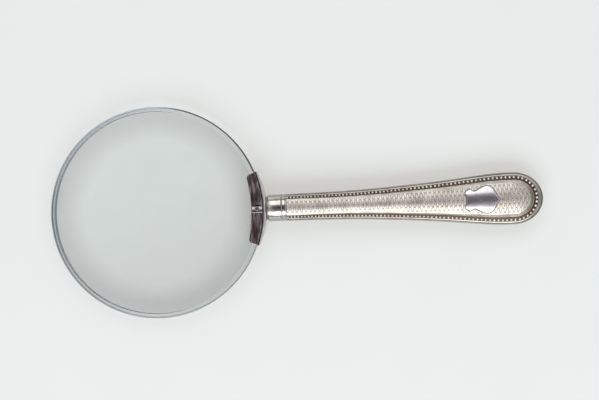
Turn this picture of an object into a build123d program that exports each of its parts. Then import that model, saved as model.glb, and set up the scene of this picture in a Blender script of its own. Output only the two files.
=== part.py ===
"""A table reading glass: a rimless biconvex lens held by a riveted clasp on a hollow silver handle.

Frame: the origin is the middle of the lens, +Z is its optical axis, and +X runs along the handle,
away from the lens. The front of the handle, with its shield plate, faces +Z. Millimetres.
"""

from build123d import *
from math import cos, radians, sin, sqrt
import os

# Lens
LENS_R = 38.1
LENS_EDGE = 5.0
LENS_FACE_R = 300.0
LENS_CHAMFER = 1.8

# Clasp: a crescent saddle behind the glass, with a flat jaw over each face
CLASP_HALF_ANGLE = 20.0
EDGE_LINING = 0.5
SADDLE_CREST_X = 39.75
SADDLE_BACK_R = 29.2
SADDLE_ROUND = 0.2
JAW_BOTTOM = 3.1
JAW_TOP = 3.9
JAW_LIP_X = 34.2
JAW_LIP_R = 50.0
JAW_CORNER = 1.4
LINING_INSET = 0.3
STRAP_WIDTH = 2.9
STRAP_THICK = 0.35
RIVET_X = 36.3
RIVET_R = 0.6
RIVET_HEAD_R = 0.8
RIVET_HEAD_HIGH = 0.15
BUSH_WALL = 0.3

# Neck: washer, ferrule and its two reeds, all round the tang
TANG_R = 1.6
TANG_END_X = 98.0
WASHER_R = 4.3
FERRULE_START_X = 40.3
FERRULE_END_X = 46.9
FERRULE_R = 4.8
FERRULE_WALL = 0.5
REED_R = 0.16
REED_X = {"front": 45.0, "rear": 46.5}

# Handle: (x, half width) along its sides; from END_X it closes in half an ellipse
SIDES = [
    (46.9, 4.78),
    (58.2, 4.92),
    (69.1, 5.16),
    (79.9, 5.65),
    (90.8, 6.38),
    (98.0, 6.91),
    (105.3, 7.58),
    (112.5, 8.32),
    (119.7, 9.05),
    (125.1, 9.35),
    (128.7, 9.38),
]
END_X = 128.7
TIP_X = 139.5
SHELL_WALL = 0.4
SEAM_HIGH = 0.35
CROWN_NECK = 4.65
CROWN_END = 4.0
FIELD_EDGE_NECK = 3.75
FIELD_EDGE_END = 1.95
BORDER_NECK = 2.04
BORDER_END = 3.4
CHANNEL_OUTER = 0.28
CHANNEL_INNER = 0.80
CHANNEL_DEEP = 0.15

# Shield plate, measured along the handle from its straight-topped end
SHIELD_X = 110.75
SHIELD_TOP_DIP = 0.58
SHIELD_SHOULDER = (0.0, 2.5)
SHIELD_EAR = (1.55, 4.05)
SHIELD_NOTCH = (3.2, 3.33)
SHIELD_SIDE = [(5.35, 3.94), (8.24, 4.95), (10.05, 3.98), (11.1, 1.8)]
SHIELD_POINT = (12.4, 0.0)
SHIELD_THICK = 0.2

SADDLE_IN_R = LENS_R + EDGE_LINING
SADDLE_BACK_X = SADDLE_CREST_X - SADDLE_BACK_R
TALL = 20.0


def lens_height(r):
    """Height of the glass face above the mid-plane at radius r."""
    return LENS_EDGE / 2 + sqrt(LENS_FACE_R**2 - r**2) - sqrt(LENS_FACE_R**2 - LENS_R**2)


def rod(radius, z_low, z_high, x=0.0):
    """An upright cylinder at (x, 0) from z_low to z_high."""
    tall = z_high - z_low
    return Pos(x, 0, (z_low + z_high) / 2) * Cylinder(radius, tall)


def shaft(radius, x_low, x_high):
    """A cylinder along the handle's axis."""
    return Pos((x_low + x_high) / 2, 0, 0) * Rot(0, 90, 0) * Cylinder(radius, x_high - x_low)


def turned_front(part):
    """The same piece on the back of the glass."""
    return mirror(part, Plane.XY)


def lens_blank():
    """The glass before drilling: two spherical faces, a ground edge and a chamfer at each rim."""
    flat_r = LENS_R - LENS_CHAMFER
    rim = lens_height(flat_r)
    edge = rim - LENS_CHAMFER
    crown = lens_height(0)
    bow = lens_height(flat_r / 2)
    outline = [
        ThreePointArc((0, 0, crown), (flat_r / 2, 0, bow), (flat_r, 0, rim)),
        Line((flat_r, 0, rim), (LENS_R, 0, edge)),
        Line((LENS_R, 0, edge), (LENS_R, 0, -edge)),
        Line((LENS_R, 0, -edge), (flat_r, 0, -rim)),
        ThreePointArc((flat_r, 0, -rim), (flat_r / 2, 0, -bow), (0, 0, -crown)),
        Line((0, 0, -crown), (0, 0, crown)),
    ]
    return revolve(make_face(outline), Axis.Z)


def lens():
    return lens_blank() - rod(RIVET_R + BUSH_WALL, -TALL, TALL, RIVET_X)


def clasp_wedge(half_angle, outer_r):
    """A sector about the optical axis, straddling +X."""
    turn = radians(half_angle)
    near = (outer_r * cos(turn), outer_r * sin(turn))
    far = (near[0], -near[1])
    edges = [
        Line((0, 0), near),
        ThreePointArc(near, (outer_r, 0), far),
        Line(far, (0, 0)),
    ]
    return make_face(edges)


def jaw_plan(inset, outer_r):
    """A jaw seen along the optical axis: a sector with its inner lip on a shallower arc."""
    narrower = CLASP_HALF_ANGLE - inset / LENS_R * 57.3
    lip = Pos(JAW_LIP_X + inset - JAW_LIP_R, 0) * Circle(JAW_LIP_R)
    return clasp_wedge(narrower, outer_r) - lip


def jaw():
    plate = Pos(0, 0, JAW_BOTTOM) * extrude(jaw_plan(0, SADDLE_IN_R), JAW_TOP - JAW_BOTTOM)
    inner_corners = plate.edges().filter_by(Axis.Z).sort_by(Axis.X)[:2]
    plate = fillet(inner_corners, JAW_CORNER)
    return plate - rod(RIVET_R, -TALL, TALL, RIVET_X)


def saddle_back():
    """The round the outside of the saddle follows, as an upright cylinder."""
    return rod(SADDLE_BACK_R, -TALL, TALL, SADDLE_BACK_X)


def clasp_saddle():
    """The crescent wall behind the glass edge, with its two outer edges softened."""
    blank = extrude(clasp_wedge(CLASP_HALF_ANGLE, TALL * 3), JAW_TOP, both=True)
    wall = (blank & saddle_back()) - Cylinder(SADDLE_IN_R, TALL)
    back = wall.faces().filter_by(GeomType.CYLINDER).sort_by(Axis.X)[-1]
    outer = back.edges().filter_by(GeomType.CIRCLE)
    wall = fillet(outer, SADDLE_ROUND)
    return wall - shaft(TANG_R, SADDLE_IN_R - 1, SADDLE_CREST_X + 1)


def strap():
    """The narrow tongue across a jaw, under the rivet's head."""
    long = SADDLE_IN_R - JAW_LIP_X
    tongue = Box(long, STRAP_WIDTH, STRAP_THICK)
    tongue = fillet(tongue.edges().filter_by(Axis.Z), STRAP_THICK)
    tongue = Pos(JAW_LIP_X + long / 2, 0, JAW_TOP + STRAP_THICK / 2) * tongue
    return tongue - rod(RIVET_R, -TALL, TALL, RIVET_X)


def rivet():
    """The shank through both jaws and the glass, with a low domed head at each end."""
    seat = JAW_TOP + STRAP_THICK
    dome_r = (RIVET_HEAD_R**2 + RIVET_HEAD_HIGH**2) / (2 * RIVET_HEAD_HIGH)
    ball = Pos(RIVET_X, 0, seat + RIVET_HEAD_HIGH - dome_r) * Sphere(dome_r)
    head = ball & rod(TALL, seat, TALL, RIVET_X)
    return rod(RIVET_R, -seat, seat, RIVET_X) + head + turned_front(head)


def rivet_bush():
    """The soft sleeve that keeps the rivet off the glass."""
    reach = lens_height(RIVET_X)
    sleeve = rod(RIVET_R + BUSH_WALL, -reach + 0.2, reach - 0.2, RIVET_X)
    return sleeve - rod(RIVET_R, -TALL, TALL, RIVET_X)


def face_lining():
    """The wedge of packing between a jaw and the curve of the glass."""
    outer_r = LENS_R - LENS_CHAMFER
    plan = jaw_plan(LINING_INSET, outer_r)
    floor_z = lens_height(outer_r) - 0.5
    block = Pos(0, 0, floor_z) * extrude(plan, JAW_BOTTOM - floor_z)
    return block - lens_blank() - rod(RIVET_R, -TALL, TALL, RIVET_X)


def edge_lining():
    """The packing between the ground edge of the glass and the saddle."""
    half_high = lens_height(LENS_R - LENS_CHAMFER) - LENS_CHAMFER
    sector = clasp_wedge(CLASP_HALF_ANGLE - 0.5, SADDLE_IN_R) - Circle(LENS_R)
    return Pos(0, 0, -half_high) * extrude(sector, 2 * half_high)


def tang():
    return shaft(TANG_R, SADDLE_IN_R, TANG_END_X)


def neck_washer():
    disc = shaft(WASHER_R, SADDLE_IN_R, FERRULE_START_X)
    return disc - saddle_back() - shaft(TANG_R, SADDLE_IN_R - 1, FERRULE_START_X + 1)


def ferrule():
    bore = shaft(FERRULE_R - FERRULE_WALL, FERRULE_START_X - 1, FERRULE_END_X + 1)
    return shaft(FERRULE_R, FERRULE_START_X, FERRULE_END_X) - bore


def ferrule_reed(x):
    """A half-round wire soldered round the ferrule."""
    wire = Pos(x, 0, 0) * Rot(0, 90, 0) * Torus(FERRULE_R, REED_R)
    return wire - shaft(FERRULE_R, x - 1, x + 1)


def along(start, end, x):
    """A size that changes evenly from the neck to the end of the handle."""
    share = (x - FERRULE_END_X) / (END_X - FERRULE_END_X)
    return start + (end - start) * share


def half_section(x, half_width, inset):
    """Corner points of half the front section: seam, border curve, edge of field, crown."""
    wide = half_width - inset
    crown = along(CROWN_NECK, CROWN_END, x) - inset
    field_y = half_width - along(BORDER_NECK, BORDER_END, x) - inset / 3
    field_z = along(FIELD_EDGE_NECK, FIELD_EDGE_END, x) - inset
    bulge = along(0.72, 0.53, x)
    border_y = field_y + (wide - field_y) * bulge
    border_z = SEAM_HIGH + (field_z - SEAM_HIGH) * along(0.70, 0.62, x)
    return wide, (border_y, border_z), (field_y, field_z), crown


def front_section(x, half_width, inset):
    """The whole section of the handle's front half, as a face across the handle at x."""
    wide, border, field, crown = half_section(x, half_width, inset)

    def at(y, z):
        return (x, y, z)

    edges = [
        Line(at(-wide, 0), at(wide, 0)),
        Line(at(wide, 0), at(wide, SEAM_HIGH)),
        ThreePointArc(at(wide, SEAM_HIGH), at(*border), at(*field)),
        ThreePointArc(at(*field), at(0, crown), at(-field[0], field[1])),
        ThreePointArc(at(-field[0], field[1]), at(-border[0], border[1]), at(-wide, SEAM_HIGH)),
        Line(at(-wide, SEAM_HIGH), at(-wide, 0)),
    ]
    return make_face(edges)


def handle_end(inset):
    """The rounded end: half the last section turned about an upright axis, then stretched."""
    wide, border, field, crown = half_section(END_X, SIDES[-1][1], inset)
    low_crown = (field[0] / 2, 0, crown - (crown - field[1]) / 4)
    edges = [
        Line((0, 0, 0), (wide, 0, 0)),
        Line((wide, 0, 0), (wide, 0, SEAM_HIGH)),
        ThreePointArc((wide, 0, SEAM_HIGH), (border[0], 0, border[1]), (field[0], 0, field[1])),
        ThreePointArc((field[0], 0, field[1]), low_crown, (0, 0, crown)),
        Line((0, 0, crown), (0, 0, 0)),
    ]
    turned = Rot(0, 0, -90) * revolve(make_face(edges), Axis.Z, 180)
    stretch = (TIP_X - END_X - inset) / wide
    return Pos(END_X, 0, 0) * scale(turned, by=(stretch, 1, 1))


def handle_half(inset):
    """The front half of the handle as a solid, drawn in by inset from its outer skin."""
    sections = [front_section(x, half_width, inset) for x, half_width in SIDES]
    return loft(sections) + handle_end(inset)


def plan_within(share):
    """The handle's plan, drawn in by a share of the border's width."""
    def edge_point(x, half_width):
        return (x, half_width - share * along(BORDER_NECK, BORDER_END, x))

    upper = [edge_point(x, half_width) for x, half_width in SIDES]
    lower = [(x, -y) for x, y in reversed(upper)]
    tip = TIP_X - share * BORDER_END * (TIP_X - END_X) / SIDES[-1][1]
    end = Pos(END_X, 0) * Ellipse(tip - END_X, upper[-1][1])
    cap, base = Line(upper[-1], lower[0]), Line(lower[-1], upper[0])
    sides = make_face([Spline(*upper), cap, Spline(*lower), base])
    return sides + end


def bead_channel():
    """The shallow channel that follows the edge, for the row of beads."""
    ring = plan_within(CHANNEL_OUTER) - plan_within(CHANNEL_INNER)
    return extrude(ring, TALL) & (handle_half(0) - handle_half(CHANNEL_DEEP))


def handle_shell():
    return handle_half(0) - handle_half(SHELL_WALL) - bead_channel()


def handle_filling(front_half):
    """The pitch that fills the handle and the ferrule and grips the tang."""
    core = shaft(FERRULE_R - FERRULE_WALL, FERRULE_START_X, FERRULE_END_X)
    core = core + front_half + turned_front(front_half)
    return core - shaft(TANG_R, FERRULE_START_X - 1, TANG_END_X)


def shield():
    """The plain engraving plate, lying on the crown of the handle."""
    def at(point, side=1):
        return (SHIELD_X + point[0], side * point[1])

    edges = [ThreePointArc(at(SHIELD_SHOULDER), at((SHIELD_TOP_DIP, 0)), at(SHIELD_SHOULDER, -1))]
    for side in (1, -1):
        flank = [at(point, side) for point in [SHIELD_NOTCH, *SHIELD_SIDE, SHIELD_POINT]]
        edges.append(Line(at(SHIELD_SHOULDER, side), at(SHIELD_EAR, side)))
        edges.append(Line(at(SHIELD_EAR, side), at(SHIELD_NOTCH, side)))
        edges.append(Spline(*flank))
    blank = extrude(make_face(edges), TALL)
    return blank & (handle_half(-SHIELD_THICK) - handle_half(0))


def main():
    jaw_plate = jaw()
    strap_plate = strap()
    packing = face_lining()
    shell = handle_shell()
    shield_plate = shield()
    pieces = {
        "lens": lens(),
        "front_jaw": jaw_plate,
        "back_jaw": turned_front(jaw_plate),
        "clasp_saddle": clasp_saddle(),
        "front_strap": strap_plate,
        "back_strap": turned_front(strap_plate),
        "clasp_rivet": rivet(),
        "rivet_bush": rivet_bush(),
        "front_lining": packing,
        "back_lining": turned_front(packing),
        "edge_lining": edge_lining(),
        "tang": tang(),
        "neck_washer": neck_washer(),
        "ferrule": ferrule(),
        "handle_front_shell": shell,
        "handle_back_shell": turned_front(shell),
        "handle_filling": handle_filling(handle_half(SHELL_WALL)),
        "front_shield": shield_plate,
        "back_shield": turned_front(shield_plate),
    }
    for place, x in REED_X.items():
        pieces[f"ferrule_reed_{place}"] = ferrule_reed(x)
    os.makedirs("parts", exist_ok=True)
    for name, piece in pieces.items():
        export_step(piece, f"parts/{name}.step")


main()
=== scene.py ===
"""A table reading glass: a rimless lens, its riveted clasp, and a hollow silver handle with beads."""
from math import cos, hypot, pi, radians, sin, sqrt, tan

import bmesh
import bpy
import numpy as np
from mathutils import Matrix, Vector


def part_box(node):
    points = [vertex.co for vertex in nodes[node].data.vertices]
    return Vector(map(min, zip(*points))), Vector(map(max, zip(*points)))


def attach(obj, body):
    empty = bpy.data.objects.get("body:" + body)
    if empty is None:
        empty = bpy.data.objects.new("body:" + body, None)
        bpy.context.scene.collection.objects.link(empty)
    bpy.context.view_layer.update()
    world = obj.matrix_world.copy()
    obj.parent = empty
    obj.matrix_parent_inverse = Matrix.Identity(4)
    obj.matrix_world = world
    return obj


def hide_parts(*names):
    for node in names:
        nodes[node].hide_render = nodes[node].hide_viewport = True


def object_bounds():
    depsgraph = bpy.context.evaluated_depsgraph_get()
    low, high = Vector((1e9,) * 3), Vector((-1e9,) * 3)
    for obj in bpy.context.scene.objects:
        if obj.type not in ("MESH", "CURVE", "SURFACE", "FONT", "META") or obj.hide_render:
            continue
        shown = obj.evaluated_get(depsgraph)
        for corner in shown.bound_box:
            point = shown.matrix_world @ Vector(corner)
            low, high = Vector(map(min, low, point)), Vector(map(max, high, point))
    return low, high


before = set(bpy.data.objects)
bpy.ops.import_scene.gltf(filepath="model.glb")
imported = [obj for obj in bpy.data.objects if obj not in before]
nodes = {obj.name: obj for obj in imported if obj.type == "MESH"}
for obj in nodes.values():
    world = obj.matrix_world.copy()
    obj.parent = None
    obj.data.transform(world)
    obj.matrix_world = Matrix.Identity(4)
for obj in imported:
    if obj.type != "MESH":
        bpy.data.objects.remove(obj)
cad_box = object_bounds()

MM = 0.001


def spread(start, end, count):
    """count numbers from start to end, evenly spaced."""
    return [start + (end - start) * i / (count - 1) for i in range(count)]


def ease(x, low, high):
    """0 below low, 1 above high, and a smooth step between; works on arrays."""
    t = np.clip((x - low) / (high - low), 0, 1)
    return t * t * (3 - 2 * t)


# ---------------------------------------------------------------- sizes, in mm


def box_mm(node):
    """The low and high corners of a CAD node's box, in mm."""
    low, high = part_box(node)
    return low / MM, high / MM


_, lens_high = box_mm("lens")
jaw_low, jaw_high = box_mm("front_jaw")
_, saddle_high = box_mm("clasp_saddle")
strap_low, strap_high = box_mm("front_strap")
rivet_low, rivet_high = box_mm("clasp_rivet")
washer_low, washer_high = box_mm("neck_washer")
ferrule_low, ferrule_high = box_mm("ferrule")
shell_low, shell_high = box_mm("handle_front_shell")
shield_low, _ = box_mm("front_shield")

# What the boxes don't give is the CAD model's own size, or how finely a piece is meshed.
LENS_R = lens_high.y
LENS_CROWN = lens_high.z
LENS_FACE_R = 300.0
LENS_BEVEL = 1.8
EDGE_STRIP = 0.5
LENS_RINGS = 50
LENS_STEPS = 256
POLE_R = 0.02
INNER_RING_R = 0.6
CLASP_HALF_ANGLE = 20.0
SADDLE_IN_R = jaw_high.x
SADDLE_CREST_X = saddle_high.x
SADDLE_BACK_R = 29.2
JAW_BOTTOM = jaw_low.z
JAW_TOP = jaw_high.z
JAW_LIP_X = strap_low.x
JAW_LIP_R = 50.0
JAW_CORNER = 1.4
STRAP_TOP = strap_high.z
STRAP_HALF = strap_high.y
RIVET_X = (rivet_low.x + rivet_high.x) / 2
RIVET_HEAD_R = (rivet_high.x - rivet_low.x) / 2
RIVET_SHANK_R = 0.6
FERRULE_START = ferrule_low.x
FERRULE_END = ferrule_high.x
FERRULE_R = ferrule_high.z
FERRULE_WALL = 0.5
FERRULE_MOUTH = 0.16
FERRULE_SOFT = 0.05
FERRULE_SKIN = 0.02
REED_X = (45.0, 46.5)
REED_R = 0.16
REED_FOOT = 0.05
REED_BED = 0.06
REED_BED_HALF = (0.36, 0.28)
WASHER_R = washer_high.z
WASHER_BORE = 1.65
WASHER_FACE = washer_low.x + 0.3
NECK_X = shell_low.x
TIP_X = shell_high.x
END_X = 128.7

# ---------------------------------------------------------------- mesh helpers


def new_piece(name, points, faces, replaced=(), patina_and_shade_points=None, sharp=35):
    """A mesh piece from points in mm, which rides on the part's one body.

    The list after the replaced nodes gives each point's share of dark colour: patina in recesses, and
    painted shade on the handle's outer roll, seam and round end.
    """
    mesh = bpy.data.meshes.new(name)
    mesh.from_pydata([tuple(c * MM for c in p) for p in points], [], faces)
    mesh.validate()
    mesh.update()
    mesh.shade_smooth()
    mesh.set_sharp_from_angle(angle=radians(sharp))
    piece = bpy.data.objects.new(name, mesh)
    bpy.context.scene.collection.objects.link(piece)
    if patina_and_shade_points is not None:
        mesh.attributes.new("patina_and_shade", "FLOAT", "POINT").data.foreach_set("value", patina_and_shade_points)
    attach(piece, "root")
    if replaced:
        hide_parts(*replaced)
    return piece


def strips(rows, columns, closed_rows=False, closed_columns=False):
    """Quads between neighbouring points of a grid stored row by row."""
    faces = []
    for i in range(rows if closed_rows else rows - 1):
        for j in range(columns if closed_columns else columns - 1):
            here, across = i * columns, (i + 1) % rows * columns
            after = (j + 1) % columns
            faces.append((here + j, here + after, across + after, across + j))
    return faces


def end_rows(rows, columns):
    """The faces that close a tube of rows at its two ends."""
    return [list(range(columns)), list(range((rows - 1) * columns, rows * columns))]


def end_discs(steps, count):
    """The faces that close a turned outline of count points at its first and last point."""
    return [[i * count for i in range(steps)], [i * count + count - 1 for i in reversed(range(steps))]]


def lathe(outline, steps, axis="Z", closed=True):
    """Points and faces of (radius, height) pairs turned about Z, or along +X for axis X."""
    points = []
    for i in range(steps):
        turn = 2 * pi * i / steps
        for r, h in outline:
            if axis == "Z":
                points.append((r * cos(turn), r * sin(turn), h))
            else:
                points.append((h, r * cos(turn), r * sin(turn)))
    return points, strips(steps, len(outline), closed_rows=True, closed_columns=closed)


def flip(points):
    """The same points on the back of the part."""
    return [(x, y, -z) for x, y, z in points]


def turned_over(faces):
    """The same faces, seen from their other side."""
    return [tuple(reversed(face)) for face in faces]


def face_outwards(piece):
    """Turns all the faces of a closed piece outwards."""
    work = bmesh.new()
    work.from_mesh(piece.data)
    bmesh.ops.recalc_face_normals(work, faces=work.faces)
    work.to_mesh(piece.data)
    work.free()


def both_sides(name, points, faces, node, sharp=40, patina_and_shade_points=None):
    """A front piece and its mirror image on the back, each in place of its own CAD node."""
    made = []
    for side in ("front", "back"):
        if side == "back":
            points, faces = flip(points), turned_over(faces)
        replaced = [node.format(side)]
        piece = new_piece(f"{side}_{name}", points, faces, replaced, patina_and_shade_points, sharp)
        face_outwards(piece)
        made.append(piece)
    return made


# ---------------------------------------------------------------- the lens

# The lens's materials, after the clear glass.
GROUND_EDGE = 1
GROUND_BEVEL = 2


def lens_height(r):
    """Height of the front face of the glass at this distance from the axis."""
    return LENS_CROWN - (LENS_FACE_R - sqrt(LENS_FACE_R**2 - r**2))


def make_lens():
    """The glass: two faces, a bevel at each rim, and a ground edge with a narrow strip beside it."""
    flat_r = LENS_R - LENS_BEVEL
    edge = lens_height(LENS_R) - LENS_BEVEL
    rings = [POLE_R] + spread(INNER_RING_R, flat_r, LENS_RINGS)
    front = [(r, lens_height(r)) for r in rings]
    back = [(r, -h) for r, h in reversed(front)]
    strip = (LENS_R - EDGE_STRIP, edge + EDGE_STRIP)
    outline = front + [strip, (LENS_R, edge), (LENS_R, -edge), (strip[0], -strip[1])] + back
    points, faces = lathe(outline, LENS_STEPS, closed=False)
    faces += end_discs(LENS_STEPS, len(outline))
    piece = new_piece("reading_lens", points, faces, ["lens"], sharp=20)
    for polygon in piece.data.polygons:
        r = hypot(polygon.center.x, polygon.center.y) / MM
        if r > LENS_R - EDGE_STRIP:
            polygon.material_index = GROUND_EDGE
        elif r > flat_r:
            polygon.material_index = GROUND_BEVEL
    return piece


# ---------------------------------------------------------------- the clasp and the neck

SOFT = 0.12
GROOVE_R = 38.2
GROOVE_Z = 3.5
GROOVE_WIDE = 0.4

# Distances in from a jaw's edges at which rows of points round it, and the rows over its middle.
SIDE_GAPS = (0, 0.02, 0.06, 0.12, 0.25)
LIP_GAPS = (*SIDE_GAPS, 0.5, 0.9)
JAW_SHARES = (0.4, 0.55, 0.7, 0.85)
JAW_COLUMNS = 41
JAW_SIDE_STEP = 0.3
JAW_MEAN_R = 36

# The strap's section, filed to a slope: (share of half its width, height over its top).
STRAP_SECTION = ((-0.93, 0.0), (-0.17, 0.0), (0.48, -0.35), (0.97, -0.35), (1.0, -0.38))
STRAP_SIDE = 0.05
STRAP_SINK = 0.06
# Its rounded ends: (distance along X from the lip or the groove, fall). Between them it is flat.
STRAP_LIP_END = ((0.2, 0.10), (0.3, 0.02), (0.45, 0))
STRAP_GROOVE_END = ((-0.12, 0.03), (0, 0.12))
STRAP_FLAT = (0.8, -0.5)
STRAP_ROWS = 6

# The rivet's low head: (share of its radius, height over the strap).
RIVET_HEAD = ((0.6, 0.05), (0.9, 0.03), (1.0, 0.0), (1.0, -0.05))
RIVET_CREST = 0.06

# The saddle's top. At its inner edge: (distance out, fall).
SADDLE_COLUMNS = 81
SADDLE_LIP = ((0.03, 0.05), (0.10, 0.0))
# Further out, rows at these shares of its thickness, a little out and up from the curve.
SADDLE_SHARES = (0.25, 0.4, 0.55, 0.7, 0.85)
SADDLE_OUT = 0.02
SADDLE_UP = 0.04
# At its outer edge: (share of its thickness, share of its fall).
SADDLE_EDGE = ((0.96, 0.95), (1.0, 1.15))
# Its fall, as a plain part and a share of its thickness, and how that fall grows outwards.
SADDLE_FALL = (0.16, 0.42)
SADDLE_CURVE = (0.45, 0.4)


def lip_radius(turn):
    """Distance from the optical axis to a jaw's inner lip in this direction."""
    middle = JAW_LIP_X - JAW_LIP_R
    return middle * cos(turn) + sqrt(JAW_LIP_R**2 - (middle * sin(turn)) ** 2)


def saddle_radius(turn):
    """Distance from the optical axis to the outside of the saddle in this direction."""
    middle = SADDLE_CREST_X - SADDLE_BACK_R
    return middle * cos(turn) + sqrt(SADDLE_BACK_R**2 - (middle * sin(turn)) ** 2)


def rounded_drop(gap, soft):
    """How far a rounded edge falls at this distance in from it."""
    return soft - sqrt(soft**2 - max(soft - gap, 0) ** 2)


def jaw_points():
    """The jaw's top as a grid, from the lip to the groove: points, rows and columns."""
    rows = [("lip", gap) for gap in LIP_GAPS]
    rows += [("share", share) for share in JAW_SHARES]
    rows += [("back", gap) for gap in reversed(SIDE_GAPS)]
    rows += [("groove", 0), ("groove", GROOVE_WIDE)]
    columns = [(-1, gap) for gap in SIDE_GAPS]
    columns += [(0, share) for share in spread(-1, 1, JAW_COLUMNS)]
    columns += [(1, gap) for gap in reversed(SIDE_GAPS)]
    points = []
    for kind, value in rows:
        lip_gap = value if kind == "lip" else JAW_CORNER
        corner = rounded_drop(lip_gap, JAW_CORNER)
        for side, place in columns:
            in_from_side = place if side else JAW_SIDE_STEP
            reach = radians(CLASP_HALF_ANGLE) - (corner + in_from_side) / JAW_MEAN_R
            turn = side * reach if side else place * reach
            near = lip_radius(turn)
            if kind == "lip":
                r = near + value
            elif kind == "share":
                r = near + value * (GROOVE_R - near)
            elif kind == "back":
                r = GROOVE_R - value
            else:
                r = GROOVE_R + value
            side_gap = place if side else SOFT
            end_gap = value if kind in ("lip", "back") else SOFT
            top = JAW_TOP - rounded_drop(min(side_gap, end_gap), SOFT)
            points.append((r * cos(turn), r * sin(turn), GROOVE_Z if kind == "groove" else top))
    return points, len(rows), len(columns)


def make_jaws():
    """The two flat jaws over the faces of the glass."""
    points, rows, columns = jaw_points()
    faces = strips(rows, columns)
    loop = list(range(columns)) + [i * columns + columns - 1 for i in range(1, rows)]
    loop += [(rows - 1) * columns + j for j in reversed(range(columns - 1))]
    loop += [i * columns for i in reversed(range(1, rows - 1))]
    first = len(points)
    points += [(points[k][0], points[k][1], JAW_BOTTOM) for k in loop]
    count = len(loop)
    for k in range(count):
        after = (k + 1) % count
        faces.append((loop[k], first + k, first + after, loop[after]))
    faces.append([first + k for k in range(count)])
    patina_and_shade_points = [float(z <= GROOVE_Z) for _, _, z in points]
    return both_sides("jaw_plate", points, faces, "{}_jaw", patina_and_shade_points=patina_and_shade_points)


def make_straps():
    """The tongues over the jaws, each filed to a slope on its middle."""
    foot = JAW_TOP - STRAP_SINK
    outline = [(-STRAP_HALF, foot), (-STRAP_HALF, STRAP_TOP - STRAP_SIDE)]
    outline += [(share * STRAP_HALF, STRAP_TOP + over) for share, over in STRAP_SECTION]
    outline += [(STRAP_HALF, foot)]
    ends = [(JAW_LIP_X + inwards, fall) for inwards, fall in STRAP_LIP_END]
    ends += [(x, 0) for x in spread(JAW_LIP_X + STRAP_FLAT[0], GROOVE_R + STRAP_FLAT[1], STRAP_ROWS)]
    ends += [(GROOVE_R + past, fall) for past, fall in STRAP_GROOVE_END]
    points = [(x, y, max(z - fall, foot)) for x, fall in ends for y, z in outline]
    faces = strips(len(ends), len(outline), closed_columns=True)
    faces += end_rows(len(ends), len(outline))
    return both_sides("strap_tongue", points, faces, "{}_strap", sharp=12)


def make_rivet(steps=40):
    """The rivet, with a low head on each strap."""
    seat = STRAP_TOP
    cap = [(POLE_R, seat + RIVET_CREST)]
    cap += [(RIVET_HEAD_R * share, seat + over) for share, over in RIVET_HEAD]
    shank = [(RIVET_SHANK_R, seat - RIVET_CREST), (RIVET_SHANK_R, -seat + RIVET_CREST)]
    outline = cap + shank + [(r, -z) for r, z in reversed(cap)]
    points, faces = lathe(outline, steps, closed=False)
    faces += end_discs(steps, len(outline))
    points = [(x + RIVET_X, y, z) for x, y, z in points]
    piece = new_piece("rivet_and_heads", points, faces, ["clasp_rivet"])
    face_outwards(piece)
    return piece


def make_saddle():
    """The crescent behind the glass, its outer edges falling away to a thin rounded rim."""
    half = radians(CLASP_HALF_ANGLE)
    turns = spread(-half, half, SADDLE_COLUMNS)
    points = []
    for turn in turns:
        thick = saddle_radius(turn) - SADDLE_IN_R
        fall = SADDLE_FALL[0] + SADDLE_FALL[1] * thick
        upper = [(out, JAW_TOP - drop) for out, drop in SADDLE_LIP]
        for share in SADDLE_SHARES:
            curve = SADDLE_CURVE[0] * share + SADDLE_CURVE[1] * share**2
            upper.append((share * thick + SADDLE_OUT, JAW_TOP - fall * curve + SADDLE_UP))
        upper += [(thick * share, JAW_TOP - fall * drop) for share, drop in SADDLE_EDGE]
        outline = [(SADDLE_LIP[0][0], 0)] + upper + [(thick, 0)] + [(d, -z) for d, z in reversed(upper)]
        for d, z in outline:
            r = SADDLE_IN_R + d
            points.append((r * cos(turn), r * sin(turn), z))
    columns = len(outline)
    faces = strips(len(turns), columns, closed_columns=True) + end_rows(len(turns), columns)
    piece = new_piece("saddle", points, faces, ["clasp_saddle"], sharp=50)
    face_outwards(piece)
    return piece


def turned_part(name, outline, node, steps=96):
    """A silver part turned about the handle's axis, in place of one node, dark in its grooves."""
    points, faces = lathe(outline, steps, axis="X")
    patina_and_shade_points = [float(FERRULE_R - FERRULE_MOUTH < r < FERRULE_R - FERRULE_SKIN) for r, _ in outline]
    piece = new_piece(name, points, faces, [node], patina_and_shade_points * steps)
    face_outwards(piece)
    return piece


def make_neck():
    """The ferrule, the two reeds round it, and the recessed washer."""
    bore, bed, start = FERRULE_R - FERRULE_WALL, FERRULE_R - REED_BED, FERRULE_START
    outline = [(bore, start), (FERRULE_R - FERRULE_MOUTH, start)]
    outline += [(FERRULE_R - FERRULE_SOFT, start + FERRULE_SOFT), (FERRULE_R, start + FERRULE_MOUTH)]
    flank = [(FERRULE_R, REED_BED_HALF[0]), (bed, REED_BED_HALF[1]), (bed, REED_R)]
    for middle in REED_X:
        outline += [(r, middle - gap) for r, gap in flank]
        outline.append((bed, middle))
        outline += [(r, middle + gap) for r, gap in reversed(flank)]
    outline += [(FERRULE_R, FERRULE_END), (bore, FERRULE_END)]
    tube = turned_part("ferrule_tube", outline, "ferrule")
    reeds = []
    for middle, node in zip(REED_X, ("ferrule_reed_front", "ferrule_reed_rear")):
        foot = FERRULE_R - REED_FOOT
        ring = [(foot, middle - REED_R), (foot, middle + REED_R)]
        ring += [(FERRULE_R + REED_R * sin(a), middle + REED_R * cos(a)) for a in spread(0, pi, 9)]
        reeds.append(turned_part(f"{node}_wire", ring, node))
    disc = [(WASHER_BORE, WASHER_FACE), (WASHER_BORE, start), (WASHER_R, start), (WASHER_R, WASHER_FACE)]
    washer = turned_part("neck_disc", disc, "neck_washer")
    return tube, reeds, washer


# ---------------------------------------------------------------- the handle's shape, in mm

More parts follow.
